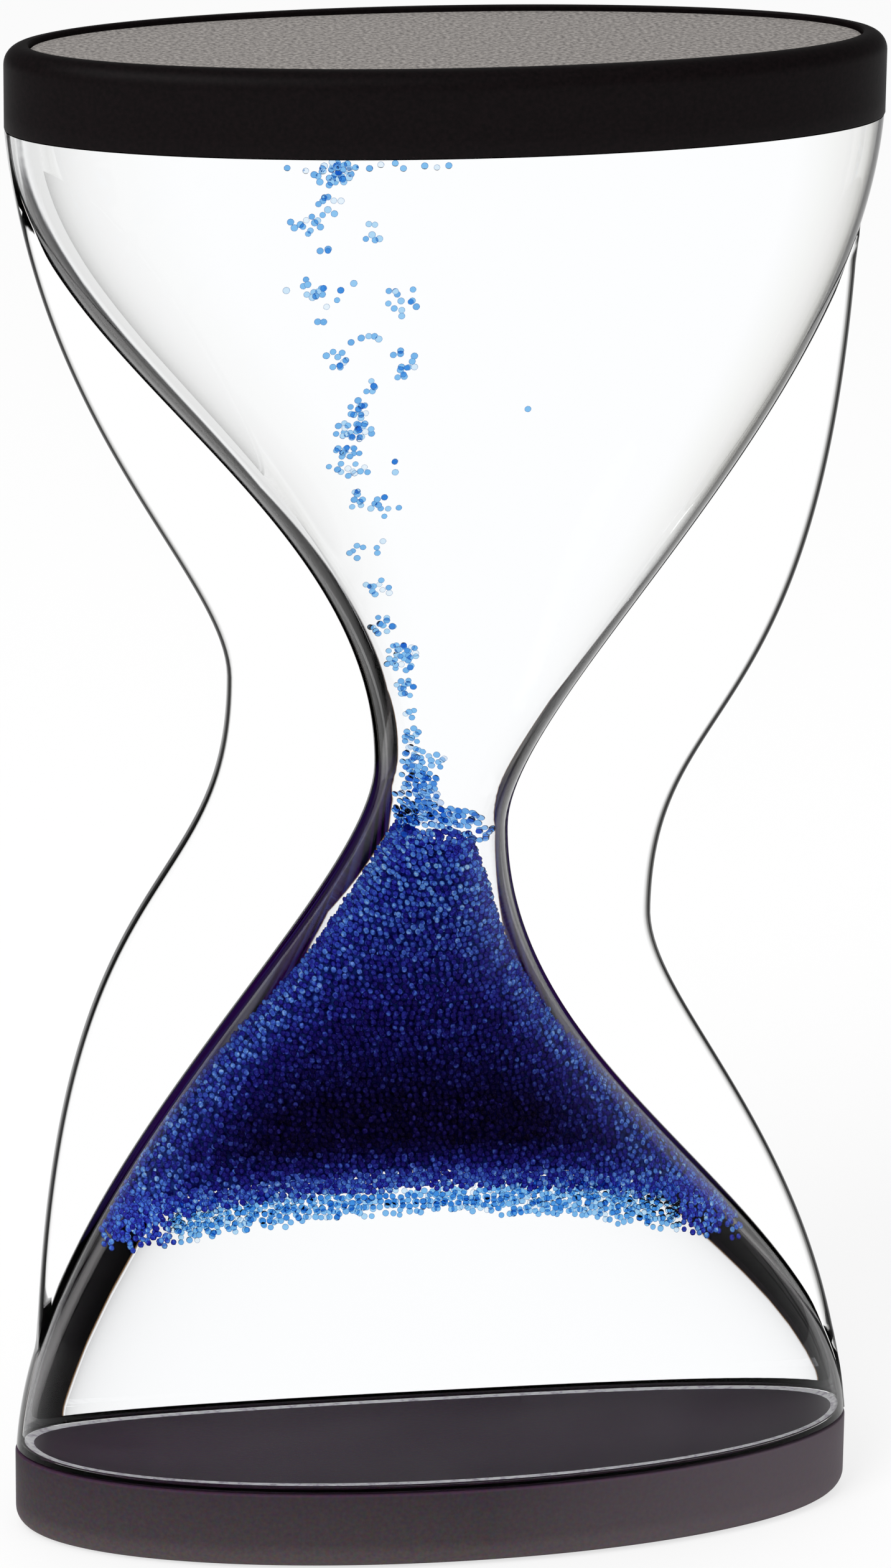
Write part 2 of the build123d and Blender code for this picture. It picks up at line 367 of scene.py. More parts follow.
# ---- materials ----
def abs_plastic():
    """Moulded black ABS with a fine spark-eroded grain: dull, with a trace of aubergine.

    The cap that stands on tables carries painted light in its grain: it is paler most at its foot,
    at its right end and on the floor of the chamber.
    """
    material, tree, output = new_material("moulded_black_abs")
    place_in = add_node(tree, "ShaderNodeTexCoord").outputs["Object"]
    grain_mm = 0.35  # coarser than the real grain, so that it shows
    grain = add_node(tree, "ShaderNodeTexNoise", Vector=place_in, Scale=1 / (grain_mm * MM), Detail=4.0)
    cloud_mm = 14.0
    cloud = add_node(tree, "ShaderNodeTexNoise", Vector=place_in, Scale=1 / (cloud_mm * MM), Detail=3.0)
    colour = add_node(
        tree, "ShaderNodeValToRGB", stops=[(0.3, "#040102"), (0.7, "#0e0608")], Fac=grain.outputs["Fac"]
    )
    parts = add_node(tree, "ShaderNodeSeparateXYZ", Vector=place_in).outputs
    height, sideways = parts["Z"], parts["X"]
    # painted light on the lower cap, by height: paler at its foot, darker up its side, and paler again on
    # the floor of the chamber
    rise = add_node(tree, "ShaderNodeMapRange", Value=height, _1=0.0, _2=10 * MM).outputs[0]
    painted_cap_light = add_node(
        tree,
        "ShaderNodeValToRGB",
        stops=[
            (0.0, "#5c5254"),
            (0.25, "#3f373b"),
            (0.68, "#362e34"),
            (0.705, "#4b3249"),
            (0.8, "#4b3249"),
        ],
        Fac=rise,
    )
    grain_and_painted_light = add_node(
        tree,
        "ShaderNodeMix",
        {"data_type": "RGBA", "blend_type": "OVERLAY"},
        _0=0.5,
        _6=painted_cap_light.outputs["Color"],
        _7=grain.outputs["Color"],
    ).outputs[2]
    # more painted light towards the cap's right end
    to_right = add_node(
        tree, "ShaderNodeMapRange", Value=sideways, _1=2 * MM, _2=cap_half_width * MM, _4=0.65
    ).outputs[0]
    grain_and_painted_light = add_node(
        tree, "ShaderNodeMix", COLOUR_MIX, _0=to_right, _6=grain_and_painted_light, _7=srgb("#635a61")
    ).outputs[2]
    # the painted light is on the lower cap only
    painted_light_share = add_node(tree, "ShaderNodeMath", {"operation": "LESS_THAN"}, _0=height, _1=middle * MM)
    colour = add_node(
        tree, "ShaderNodeMix", COLOUR_MIX, _0=painted_light_share.outputs[0], _6=colour.outputs["Color"], _7=grain_and_painted_light
    ).outputs[2]
    rough = add_node(tree, "ShaderNodeMapRange", Value=cloud.outputs["Fac"], _3=0.45, _4=0.6)
    bump = add_node(
        tree, "ShaderNodeBump", Strength=0.35, Distance=0.03 * MM, Height=grain.outputs["Fac"]
    )
    shader = add_node(
        tree,
        "ShaderNodeBsdfPrincipled",
        Base_Color=colour,
        Roughness=rough.outputs["Result"],
        IOR=abs_ior,
        Specular_IOR_Level=0.08,
        Normal=bump.outputs["Normal"],
    )
    tree.links.new(shader.outputs["BSDF"], output.inputs["Surface"])
    return material


def painted_edge_highlight():
    """Black ABS at the platform's edge under a pale painted highlight that glows a little, where it
    catches the light.
    """
    material, tree, output = new_material("painted_edge_highlight")
    place_in = add_node(tree, "ShaderNodeTexCoord").outputs["Object"]
    spark_mm = 0.5
    spark = add_node(tree, "ShaderNodeTexNoise", Vector=place_in, Scale=1 / (spark_mm * MM), Detail=2.0)
    colour = add_node(
        tree, "ShaderNodeValToRGB", stops=[(0.3, "#b8b0bc"), (0.6, "#ffffff")], Fac=spark.outputs["Fac"]
    )
    # the pale painted highlight glows a little
    shader = add_node(
        tree,
        "ShaderNodeBsdfPrincipled",
        Base_Color=colour.outputs["Color"],
        Roughness=0.5,
        IOR=abs_ior,
        Emission_Color=colour.outputs["Color"],
        Emission_Strength=0.25,
    )
    tree.links.new(shader.outputs["BSDF"], output.inputs["Surface"])
    return material


def pad_sheet():
    """Grained rubber sheet: pale grey on the grain's peaks, dark in its pits."""
    material, tree, output = new_material("grained_rubber_sheet")
    place_in = add_node(tree, "ShaderNodeTexCoord").outputs["Object"]
    grain_mm = 0.36
    grain = add_node(tree, "ShaderNodeTexNoise", Vector=place_in, Scale=1 / (grain_mm * MM), Detail=5.0)
    colour = add_node(
        tree, "ShaderNodeValToRGB", stops=[(0.35, "#686462"), (0.65, "#9c9793")], Fac=grain.outputs["Fac"]
    )
    bump = add_node(tree, "ShaderNodeBump", Strength=0.5, Distance=0.05 * MM, Height=grain.outputs["Fac"])
    shader = add_node(
        tree,
        "ShaderNodeBsdfPrincipled",
        Base_Color=colour.outputs["Color"],
        Roughness=0.7,
        IOR=1.5,
        Specular_IOR_Level=0.25,
        Normal=bump.outputs["Normal"],
    )
    tree.links.new(shader.outputs["BSDF"], output.inputs["Surface"])
    return material


def clear_styrene():
    """Polished clear styrene: water-white face on, dark and streaked where it is seen edge on.

    The slant is the squared sine of the angle between the light and the wall. Beyond the critical
    slant no light leaves the plastic. There it shows painted shade, black with faint painted streaks
    of light, with a painted blue reflection of the beads beside the bed, and the light goes straight
    on. The painted shade starts at a smaller slant around the neck, most at its left, and is edged
    with a thin painted ochre fringe that fades out in the upper chamber. The walls above the neck
    have a painted grey shade that grows towards the edge. The outside has painted shade where it is
    seen almost edge on.
    """
    material, tree, output = new_material("polished_clear_styrene")
    critical = 1 / styrene_ior**2
    facing = add_node(tree, "ShaderNodeLayerWeight", Blend=0.5).outputs["Facing"]
    leaving = add_node(tree, "ShaderNodeNewGeometry").outputs["Backfacing"]
    place_in = add_node(tree, "ShaderNodeTexCoord").outputs["Object"]
    parts = add_node(tree, "ShaderNodeSeparateXYZ", Vector=place_in).outputs
    sideways, depth_place, height = parts["X"], parts["Y"], parts["Z"]
    cosine = add_node(tree, "ShaderNodeMath", {"operation": "SUBTRACT"}, _0=1.0, _1=facing).outputs[0]
    square = add_node(tree, "ShaderNodeMath", PRODUCT, _0=cosine, _1=cosine).outputs[0]
    slant = add_node(tree, "ShaderNodeMath", {"operation": "SUBTRACT"}, _0=1.0, _1=square).outputs[0]
    trapped = add_node(
        tree, "ShaderNodeMath", {"operation": "GREATER_THAN"}, _0=slant, _1=0.97 * critical
    ).outputs[0]
    straight = add_node(tree, "ShaderNodeMath", PRODUCT, _0=trapped, _1=leaving).outputs[0]
    ior = add_node(tree, "ShaderNodeMapRange", Value=straight, _3=styrene_ior, _4=1.0).outputs[0]

    # the share of the upper and of the lower chamber, and none at the neck
    upper = add_node(
        tree, "ShaderNodeMapRange", Value=height, _1=(neck_z + 6) * MM, _2=(neck_z + 26) * MM
    ).outputs[0]
    lower = add_node(
        tree, "ShaderNodeMapRange", Value=height, _1=(neck_z - 5) * MM, _2=(neck_z - 19) * MM
    ).outputs[0]
    neck_shift, upper_shift, lower_left_shift, lower_right_shift = 0.10, -0.045, 0.01, 0.04
    low_shift = add_node(
        tree,
        "ShaderNodeMapRange",
        Value=sideways,
        _1=-15 * MM,
        _2=15 * MM,
        _3=lower_left_shift - neck_shift,
        _4=lower_right_shift - neck_shift,
    ).outputs[0]
    shift = add_node(
        tree, "ShaderNodeMath", PRODUCT_AND_SUM, _0=lower, _1=low_shift, _2=neck_shift
    ).outputs[0]
    shift = add_node(
        tree, "ShaderNodeMath", PRODUCT_AND_SUM, _0=upper, _1=upper_shift - neck_shift, _2=shift
    ).outputs[0]
    # the flat faces of the webs lie nearer to the middle plane than the bulb's walls
    off_middle = add_node(tree, "ShaderNodeMath", {"operation": "ABSOLUTE"}, _0=depth_place).outputs[0]
    on_bulb = add_node(
        tree,
        "ShaderNodeMapRange",
        Value=off_middle,
        _1=(web_half_thickness + 0.1) * MM,
        _2=(web_half_thickness + 0.4) * MM,
    ).outputs[0]

    # the painted dark edge starts earliest at the left of the neck, and a little earlier at its right
    left_of_neck = (
        (height, neck_z - 16.2, neck_z - 8.0),
        (height, neck_z + 6.4, neck_z - 4.6),
        (sideways, 2.5, 0.5),
    )
    right_of_neck = (
        (height, neck_z - 26.0, neck_z - 16.0),
        (height, neck_z + 8.0, neck_z - 2.0),
        (sideways, 0.5, 2.5),
    )
    for dark_edge_widening, spans in ((0.18, left_of_neck), (0.025, right_of_neck)):
        share = dark_edge_widening
        for value, start, end in spans:
            span = add_node(
                tree, "ShaderNodeMapRange", Value=value, _1=start * MM, _2=end * MM
            ).outputs[0]
            share = add_node(tree, "ShaderNodeMath", PRODUCT, _0=share, _1=span).outputs[0]
        shift = add_node(tree, "ShaderNodeMath", {"operation": "ADD"}, _0=share, _1=shift).outputs[0]
    shift = add_node(tree, "ShaderNodeMath", PRODUCT, _0=shift, _1=on_bulb).outputs[0]
    shifted = add_node(tree, "ShaderNodeMath", {"operation": "ADD"}, _0=slant, _1=shift).outputs[0]

    # fine painted streaks that run along the edge, in the painted blue reflection beside the bed
    streaks_per_slant, streak_length_mm = 45.0, 22.0
    across = add_node(tree, "ShaderNodeMath", PRODUCT, _0=slant, _1=streaks_per_slant).outputs[0]
    along = add_node(
        tree, "ShaderNodeMath", PRODUCT, _0=height, _1=1 / (streak_length_mm * MM)
    ).outputs[0]
    grid = add_node(tree, "ShaderNodeCombineXYZ", X=across, Y=along).outputs[0]
    streak = add_node(tree, "ShaderNodeTexNoise", Vector=grid, Scale=1.0, Detail=3.0).outputs["Fac"]
    # painted shade: black, with faint painted streaks of light along the edge
    depth = add_node(
        tree,
        "ShaderNodeValToRGB",
        stops=[
            (0.29, "#000000"),
            (0.31, "#070606"),
            (0.33, "#000000"),
            (0.485, "#000000"),
            (0.505, "#2c2a2a"),
            (0.525, "#000000"),
            (0.62, "#000000"),
            (0.7, "#080706"),
            (0.8, "#000000"),
        ],
        Fac=slant,
    ).outputs["Color"]
    # where the painted blue reflection of the beads shows in the dark band beside the bed
    beside_bed = add_node(
        tree, "ShaderNodeMapRange", Value=height, _1=neck_z * MM, _2=(neck_z - 5) * MM, _4=0.85
    ).outputs[0]
    above_hollow = add_node(
        tree,
        "ShaderNodeMapRange",
        Value=height,
        _1=(bed_hollow_top - 6) * MM,
        _2=(bed_hollow_top + 3) * MM,
    ).outputs[0]
    for share in (above_hollow, on_bulb):
        beside_bed = add_node(tree, "ShaderNodeMath", PRODUCT, _0=beside_bed, _1=share).outputs[0]
    blue = add_node(
        tree,
        "ShaderNodeValToRGB",
        stops=[(0.38, "#000000"), (0.52, "#010006"), (0.66, "#01011a")],
        Fac=streak,
    ).outputs["Color"]
    depth = add_node(tree, "ShaderNodeMix", COLOUR_MIX, _0=beside_bed, _6=depth, _7=blue).outputs[2]
    # painted shade begins near the critical slant, with a thin painted ochre fringe that the upper chamber
    # does without
    shade = add_node(
        tree,
        "ShaderNodeValToRGB",
        stops=[(0.0, "#ffffff"), (0.405, "#ffffff"), (0.4095, "#4a2a10"), (0.414, "#000000")],
        Fac=shifted,
    ).outputs["Color"]
    plain_shade = add_node(
        tree, "ShaderNodeValToRGB", stops=[(0.404, "#ffffff"), (0.412, "#3c3c40")], Fac=shifted
    ).outputs["Color"]
    shade = add_node(tree, "ShaderNodeMix", COLOUR_MIX, _0=upper, _6=shade, _7=plain_shade).outputs[2]
    dark_share = add_node(
        tree, "ShaderNodeValToRGB", stops=[(0.411, "#000000"), (0.416, "#ffffff")], Fac=shifted
    ).outputs["Color"]
    leaving_edge = add_node(
        tree, "ShaderNodeMix", COLOUR_MIX, _0=dark_share, _6=shade, _7=depth
    ).outputs[2]
    # painted grey shade above the neck, growing towards the edge and towards the right
    grey = add_node(
        tree,
        "ShaderNodeValToRGB",
        stops=[
            (0.12, "#ffffff"),
            (0.2, "#f3f3ef"),
            (0.28, "#e6e4e0"),
            (0.34, "#d0cec8"),
            (0.39, "#96948a"),
            (0.43, "#84827a"),
            (0.45, "#f0f0ee"),
        ],
        Fac=slant,
    ).outputs["Color"]
    to_right = add_node(
        tree, "ShaderNodeMapRange", Value=sideways, _1=-12 * MM, _2=20 * MM, _3=0.45, _4=1.0
    ).outputs[0]
    grey_share = add_node(tree, "ShaderNodeMath", PRODUCT, _0=upper, _1=to_right).outputs[0]
    leaving_edge = add_node(
        tree, "ShaderNodeMix", COLOUR_PRODUCT, _0=grey_share, _6=leaving_edge, _7=grey
    ).outputs[2]
    # painted shade where the outside is seen almost edge on
    entering_edge = add_node(
        tree,
        "ShaderNodeValToRGB",
        stops=[(0.0, "#ffffff"), (0.82, "#ffffff"), (0.9, "#101010"), (0.95, "#000000")],
        Fac=slant,
    ).outputs["Color"]
    edge = add_node(
        tree, "ShaderNodeMix", COLOUR_MIX, _0=leaving, _6=entering_edge, _7=leaving_edge
    ).outputs[2]
    shader = add_node(
        tree,
        "ShaderNodeBsdfPrincipled",
        Base_Color=edge,
        Roughness=0.0,
        IOR=ior,
        Transmission_Weight=1.0,
        Specular_Tint=srgb(clear_gloss),
    )
    tree.links.new(shader.outputs["BSDF"], output.inputs["Surface"])
    return material


def web_edge_styrene():
    """The rounded edge of the webs: clear styrene that goes grey and then dark as it turns away."""
    material, tree, output = new_material("rounded_styrene_edge")
    facing = add_node(tree, "ShaderNodeLayerWeight", Blend=0.5).outputs["Facing"]
    # painted shade: grey, then dark as the edge turns away, with a faint painted line of light
    colour = add_node(
        tree,
        "ShaderNodeValToRGB",
        stops=[
            (0.12, "#ffffff"),
            (0.24, "#4a4a48"),
            (0.31, "#020202"),
            (0.5, "#020202"),
            (0.6, "#1e1e1c"),
            (0.72, "#020202"),
        ],
        Fac=facing,
    ).outputs["Color"]
    shader = add_node(
        tree,
        "ShaderNodeBsdfPrincipled",
        Base_Color=colour,
        Roughness=0.05,
        IOR=styrene_ior,
        Transmission_Weight=1.0,
        Specular_Tint=srgb(clear_gloss),
    )
    tree.links.new(shader.outputs["BSDF"], output.inputs["Surface"])
    return material


def plain_clear(name, colour, ior):
    """A clear medium with polished walls, told from others by its colour and how it bends light."""
    material, tree, output = new_material(name)
    shader = add_node(
        tree,
        "ShaderNodeBsdfPrincipled",
        Base_Color=srgb(colour),
        Roughness=0.0,
        IOR=ior,
        Transmission_Weight=1.0,
        Specular_Tint=srgb(clear_gloss),
    )
    tree.links.new(shader.outputs["BSDF"], output.inputs["Surface"])
    return material


def packed_bead_plastic():
    """Translucent blue beads packed deep: light comes through them in specks, less where deep."""
    material, tree, output = new_material("packed_blue_beads")
    place_in = add_node(tree, "ShaderNodeTexCoord").outputs["Object"]
    chance = add_node(tree, "ShaderNodeNewGeometry").outputs["Random Per Island"]
    facing = add_node(tree, "ShaderNodeLayerWeight", Blend=0.5).outputs["Facing"]
    deep = add_node(tree, "ShaderNodeAttribute", {"attribute_name": "depth_of_beads"}).outputs["Fac"]
    speck_mm = 0.32
    speck = add_node(tree, "ShaderNodeTexNoise", Vector=place_in, Scale=1 / (speck_mm * MM), Detail=2.0)
    mixed = add_node(tree, "ShaderNodeMath", PRODUCT_AND_SUM, _0=speck.outputs["Fac"], _1=1.1, _2=-0.3)
    glint = add_node(tree, "ShaderNodeMath", PRODUCT_AND_SUM, _0=chance, _1=0.55, _2=mixed.outputs[0])
    light = add_node(
        tree,
        "ShaderNodeValToRGB",
        stops=[
            (0.1, "#161470"),
            (0.35, "#2a2cae"),
            (0.58, "#4068d4"),
            (0.78, "#66a8ec"),
            (0.93, "#b8e0f8"),
        ],
        Fac=glint.outputs[0],
    )
    dusk = add_node(
        tree,
        "ShaderNodeValToRGB",
        stops=[(0.1, "#130c4e"), (0.5, "#1f1a76"), (0.75, "#2a32a0"), (0.95, "#4a72d0")],
        Fac=glint.outputs[0],
    )
    dark = add_node(
        tree,
        "ShaderNodeValToRGB",
        stops=[(0.2, "#080418"), (0.6, "#0d0830"), (0.84, "#150f4a"), (0.97, "#24206c")],
        Fac=glint.outputs[0],
    )
    # painted shade: the specks of light go dim and then dark where the bed is deep
    body = light
    for colours, start, end in ((dusk, 0.0, 0.6), (dark, 0.5, 1.0)):
        share = add_node(tree, "ShaderNodeMapRange", Value=deep, _1=start, _2=end).outputs[0]
        body = add_node(
            tree,
            "ShaderNodeMix",
            COLOUR_MIX,
            _0=share,
            _6=body.outputs["Color" if body is light else 2],
            _7=colours.outputs["Color"],
        )
    # painted shade towards each bead's rim
    rim = add_node(tree, "ShaderNodeValToRGB", stops=[(0.25, "#ffffff"), (0.75, "#2a2c78")], Fac=facing)
    colour = add_node(
        tree, "ShaderNodeMix", COLOUR_PRODUCT, _0=1.0, _6=body.outputs[2], _7=rim.outputs["Color"]
    )
    # the beads glow faintly: painted light for the light that comes through them
    shader = add_node(
        tree,
        "ShaderNodeBsdfPrincipled",
        Base_Color=colour.outputs[2],
        Roughness=0.3,
        IOR=packed_bead_ior,
        Specular_IOR_Level=0.0,
        Emission_Color=colour.outputs[2],
        Emission_Strength=0.45,
    )
    tree.links.new(shader.outputs["BSDF"], output.inputs["Surface"])
    return material


def loose_bead_plastic():
    """Translucent sky-blue beads: clear in the middle, with painted shade towards the rim and a deeper
    painted blue in the crowd above the bed.
    """
    material, tree, output = new_material("loose_blue_beads")
    chance = add_node(tree, "ShaderNodeNewGeometry").outputs["Random Per Island"]
    facing = add_node(tree, "ShaderNodeLayerWeight", Blend=0.5).outputs["Facing"]
    body = add_node(
        tree,
        "ShaderNodeValToRGB",
        stops=[(0.0, "#6eaee6"), (0.7, "#86c2f0"), (0.9, "#b5dbf5"), (0.97, "#e8f3fb")],
        Fac=chance,
    )
    place_in = add_node(tree, "ShaderNodeTexCoord").outputs["Object"]
    height = add_node(tree, "ShaderNodeSeparateXYZ", Vector=place_in).outputs["Z"]
    # painted shade of the crowd: loose beads above the bed, up to the neck, turn a deeper blue
    above_bed = add_node(
        tree, "ShaderNodeMapRange", Value=height, _1=(neck_z + 4) * MM, _2=(neck_z - 3) * MM, _4=0.4
    ).outputs[0]
    above_fringe = add_node(
        tree,
        "ShaderNodeMapRange",
        Value=height,
        _1=(bed_hollow_top + 5) * MM,
        _2=(bed_hollow_top + 10) * MM,
    ).outputs[0]
    crowded = add_node(tree, "ShaderNodeMath", PRODUCT, _0=above_bed, _1=above_fringe).outputs[0]
    body = add_node(
        tree, "ShaderNodeMix", COLOUR_MIX, _0=crowded, _6=body.outputs["Color"], _7=srgb("#5a90dc")
    ).outputs[2]
    # painted shade towards each bead's rim
    rim = add_node(
        tree,
        "ShaderNodeValToRGB",
        stops=[(0.35, "#ffffff"), (0.62, "#b4c8e4"), (0.85, "#50689c")],
        Fac=facing,
    )
    colour = add_node(tree, "ShaderNodeMix", COLOUR_PRODUCT, _0=1.0, _6=body, _7=rim.outputs["Color"])
    shader = add_node(
        tree,
        "ShaderNodeBsdfPrincipled",
        Base_Color=colour.outputs[2],
        Roughness=0.0,
        IOR=1.08,
        Transmission_Weight=1.0,
    )
    tree.links.new(shader.outputs["BSDF"], output.inputs["Surface"])
    return material


def bed_heart_painted_shade():
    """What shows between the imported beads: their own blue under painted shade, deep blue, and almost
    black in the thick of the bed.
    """
    material, tree, output = new_material("painted_shade_between_beads")
    place_in = add_node(tree, "ShaderNodeTexCoord").outputs["Object"]
    mottle_mm = 0.5
    mottle = add_node(tree, "ShaderNodeTexNoise", Vector=place_in, Scale=1 / (mottle_mm * MM), Detail=2.0)
    near_light = add_node(
        tree, "ShaderNodeValToRGB", stops=[(0.35, "#12106a"), (0.7, "#3058c0")], Fac=mottle.outputs["Fac"]
    )
    deep_down = add_node(
        tree, "ShaderNodeValToRGB", stops=[(0.35, "#060320"), (0.65, "#0f0a48")], Fac=mottle.outputs["Fac"]
    )
    deep = add_node(tree, "ShaderNodeAttribute", {"attribute_name": "depth_of_beads"}).outputs["Fac"]
    # the beads' own blue under painted shade, almost black where the bed is thick
    colour = add_node(
        tree,
        "ShaderNodeMix",
        COLOUR_MIX,
        _0=deep,
        _6=near_light.outputs["Color"],
        _7=deep_down.outputs["Color"],
    ).outputs[2]
    shader = add_node(
        tree,
        "ShaderNodeBsdfPrincipled",
        Base_Color=colour,
        Roughness=0.6,
        IOR=packed_bead_ior,
        Specular_IOR_Level=0.0,
    )
    tree.links.new(shader.outputs["BSDF"], output.inputs["Surface"])
    return material


black_abs = abs_plastic()
platform_highlight = painted_edge_highlight()
rubber_sheet = pad_sheet()
styrene = clear_styrene()
web_edge = web_edge_styrene()
# the moulding's inner wall: polished clear styrene wetted by the liquid, which hides it
wetted_wall = plain_clear("wetted_clear_styrene", "#ffffff", styrene_ior)
# clear colourless mineral oil, which bends light less than the wall around it
oil = plain_clear("clear_mineral_oil", "#fdfeff", oil_ior)
packed_beads = packed_bead_plastic()
loose_beads = loose_bead_plastic()
heart_painted_shade = bed_heart_painted_shade()


# ---- caps ----
BRIGHT_RIM = 0.75  # width of the painted highlight on the platform's edge
CORNER_STEPS = 9


def cap_profile():
    """(inset, height) points over the cap from the recess, round the outside, to its platform."""
    points = [(recess_inset, 1.2), (recess_inset, 0.12), (recess_inset - 0.12, 0.0)]
    for step in range(CORNER_STEPS + 1):
        angle = math.pi / 2 * step / CORNER_STEPS
        points.append((edge_radius * (1 - math.sin(angle)), edge_radius * (1 - math.cos(angle))))
    points += [(0.0, z) for z in (2.5, 4.0, 5.5, cap_height - 0.2)]
    points += [(0.06, cap_height - 0.06), (0.2, cap_height)]
    groove_floor = cap_height - groove_depth
    groove_inner = chamber_inset + fit_clearance
    points += [(skirt_wall - 0.1, cap_height), (skirt_wall, cap_height - 0.1), (skirt_wall, groove_floor)]
    points += [(groove_inner, groove_floor), (groove_inner, floor_z - 0.1)]
    rim_start, platform_z = groove_inner + 0.1, floor_z + 0.02
    points += [(rim_start + width, platform_z) for width in (0.0, BRIGHT_RIM, BRIGHT_RIM + 0.4)]
    return points


def make_cap(name, upside_down):
    """A whole cap. Its last row of faces but one carries the painted highlight on the platform's edge."""
    loops = [cap_loop(inset, z) for inset, z in cap_profile()]
    if upside_down:
        loops = [[(x, -y, overall_height - z) for x, y, z in loop] for loop in loops]
    vertices, faces = skin(loops, bottom=True, top=True)
    cap = finish_mesh(name, vertices, faces, black_abs, 30)
    cap.data.materials.append(platform_highlight)
    rim_row = len(loops) - 3
    for face in cap.data.polygons:
        if face.index // len(loops[0]) == rim_row:
            face.material_index = 1
    return place(cap, "root", "cap_plastic", name)


def make_pad(name, upside_down):
    """The sheet in a cap's recess, with a softly rounded rim."""
    profile = [(0.0, 1.2), (0.0, 0.7), (0.05, 0.5), (0.15, 0.42), (0.3, 0.4), (4.0, 0.4)]
    inset = recess_inset + fit_clearance
    loops = [cap_loop(inset + step_in, z) for step_in, z in profile]
    if upside_down:
        loops = [[(x, -y, overall_height - z) for x, y, z in loop] for loop in loops]
    vertices, faces = skin(loops, bottom=True, top=True)
    return place(finish_mesh(name, vertices, faces, rubber_sheet, 50), "root", "pad_foam", name)


for end, upside_down in (("bottom", False), ("top", True)):
    make_cap(f"{end}_cap", upside_down)
    make_pad(f"{end}_pad", upside_down)
# hidden parts, which keep their solids
for node in ("filler_plug", "bottom_seal", "top_seal", "plug_ring"):
    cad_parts[node].data.materials.clear()
    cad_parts[node].data.materials.append(black_abs)


# ---- clear body ----
BODY_ROWS = 150
LIQUID_ROWS = 120


def make_clear_body():
    """Both halves of the moulded body, welded: outside with its webs, rims, and inside.

    Its inner wall and the rounded edges of its webs have finishes of their own.
    """
    levels = spread(shoulder_z, body_top_z, BODY_ROWS)
    under_cap = overall_height - cap_height - 0.05
    outside = [outer_loop(z) for z in (*levels, under_cap)]
    outside += [cap_loop(spigot_inset, z) for z in (under_cap, overall_height - spigot_z)]
    inside = [cap_loop(chamber_inset, overall_height - spigot_z)]
    inside += [oval_loop(*bulb_oval(z, body_wall), z) for z in reversed(levels)]
    inside.append(cap_loop(chamber_inset, spigot_z))
    foot = [cap_loop(spigot_inset, z) for z in (spigot_z, shoulder_z)]
    vertices, faces = skin(outside + inside + foot, closed=True)
    body = finish_mesh("clear_body", vertices, faces, styrene, 32)
    body.data.materials.append(wetted_wall)
    body.data.materials.append(web_edge)
    size = len(outside[0])
    for face in body.data.polygons:
        row, step = divmod(face.index, size)
        if len(outside) <= row < len(outside) + len(inside) - 1:
            face.material_index = 1
        elif row < len(levels) and (step + TIP_STEPS) % (2 * QUARTER) < 2 * TIP_STEPS:
            face.material_index = 2
    return body


place(make_clear_body(), "root", "clear_plastic", "front_shell", "back_shell")


# ---- liquid ----
def make_liquid():
    """The liquid from floor to ceiling, as wide as the chamber."""
    levels = spread(floor_z - wetting, ceiling_z + wetting, LIQUID_ROWS)
    loops = []
    for z in levels:
        within = min(max(z, shoulder_z), body_top_z)
        centre, half_width, half_depth = bulb_oval(within, body_wall - wetting)
        loops.append(oval_loop(centre, half_width, half_depth, z))
    vertices, faces = skin(loops, bottom=True, top=True)
    return finish_mesh("carrier_liquid_fill", vertices, faces, oil, 40)


place(make_liquid(), "root", "clear_liquid", "carrier_liquid")


# ---- beads ----
def unit_ball(fine):
    """Vertices and faces of a small ball of radius 1."""
    ball = bmesh.new()
    if fine:
        bmesh.ops.create_icosphere(ball, subdivisions=2, radius=1.0)
    else:
        bmesh.ops.create_uvsphere(ball, u_segments=8, v_segments=4, radius=1.0)
    vertices = [tuple(v.co) for v in ball.verts]
    faces = [tuple(v.index for v in face.verts) for face in ball.faces]
    ball.free()
    if not fine:
        faces.sort()  # they come in another order each run, and the shades of the beads hang on it
    return vertices, faces


def magnified(z):
    """How much wider the wall and the liquid make things look at height z, most near the neck."""
    most, below_neck, fades_over = 0.36, 1.6, 22.0
    return 1 + most * math.exp(-abs(z - neck_z + below_neck) / fades_over)


def bead_cloud(name, centres, material, fine=True, depth=None):
    """Many beads in one mesh, each drawn in sideways so that it looks round through the wall."""
    flattened = 0.92
    ball_vertices, ball_faces = unit_ball(fine)
    vertices, faces, shades = [], [], []
    for x, y, z in centres:
        size = bead_radius * rng.uniform(0.88, 1.06)
        wide = size / magnified(z)
        start = len(vertices)
        vertices += [
            (x + vx * wide, y + vy * wide, z + vz * size * flattened) for vx, vy, vz in ball_vertices
        ]
        faces += [tuple(index + start for index in face) for face in ball_faces]
        if depth:
            shades += [depth((x, y, z))] * len(ball_vertices)
    piece = finish_mesh(name, vertices, faces, material)
    if depth:
        layer = piece.data.attributes.new("depth_of_beads", "FLOAT", "POINT")
        layer.data.foreach_set("value", shades)
    return piece


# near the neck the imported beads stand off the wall: (most, from this height, growing over this height)
STANDS_OFF_LEFT = ((2.1, 36.0, 13.0),)
STANDS_OFF_RIGHT = ((0.55, 37.0, 5.0), (0.5, 57.0, 4.0))


def bed_oval(z, inset):
    """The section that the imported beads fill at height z."""
    centre, half_width, half_depth = bulb_oval(z, inset)
    off_left, off_right = (
        sum(most * clamped((z - start) / rise) for most, start, rise in steps)
        for steps in (STANDS_OFF_LEFT, STANDS_OFF_RIGHT)
    )
    return centre + (off_left - off_right) / 2, half_width - (off_left + off_right) / 2, half_depth


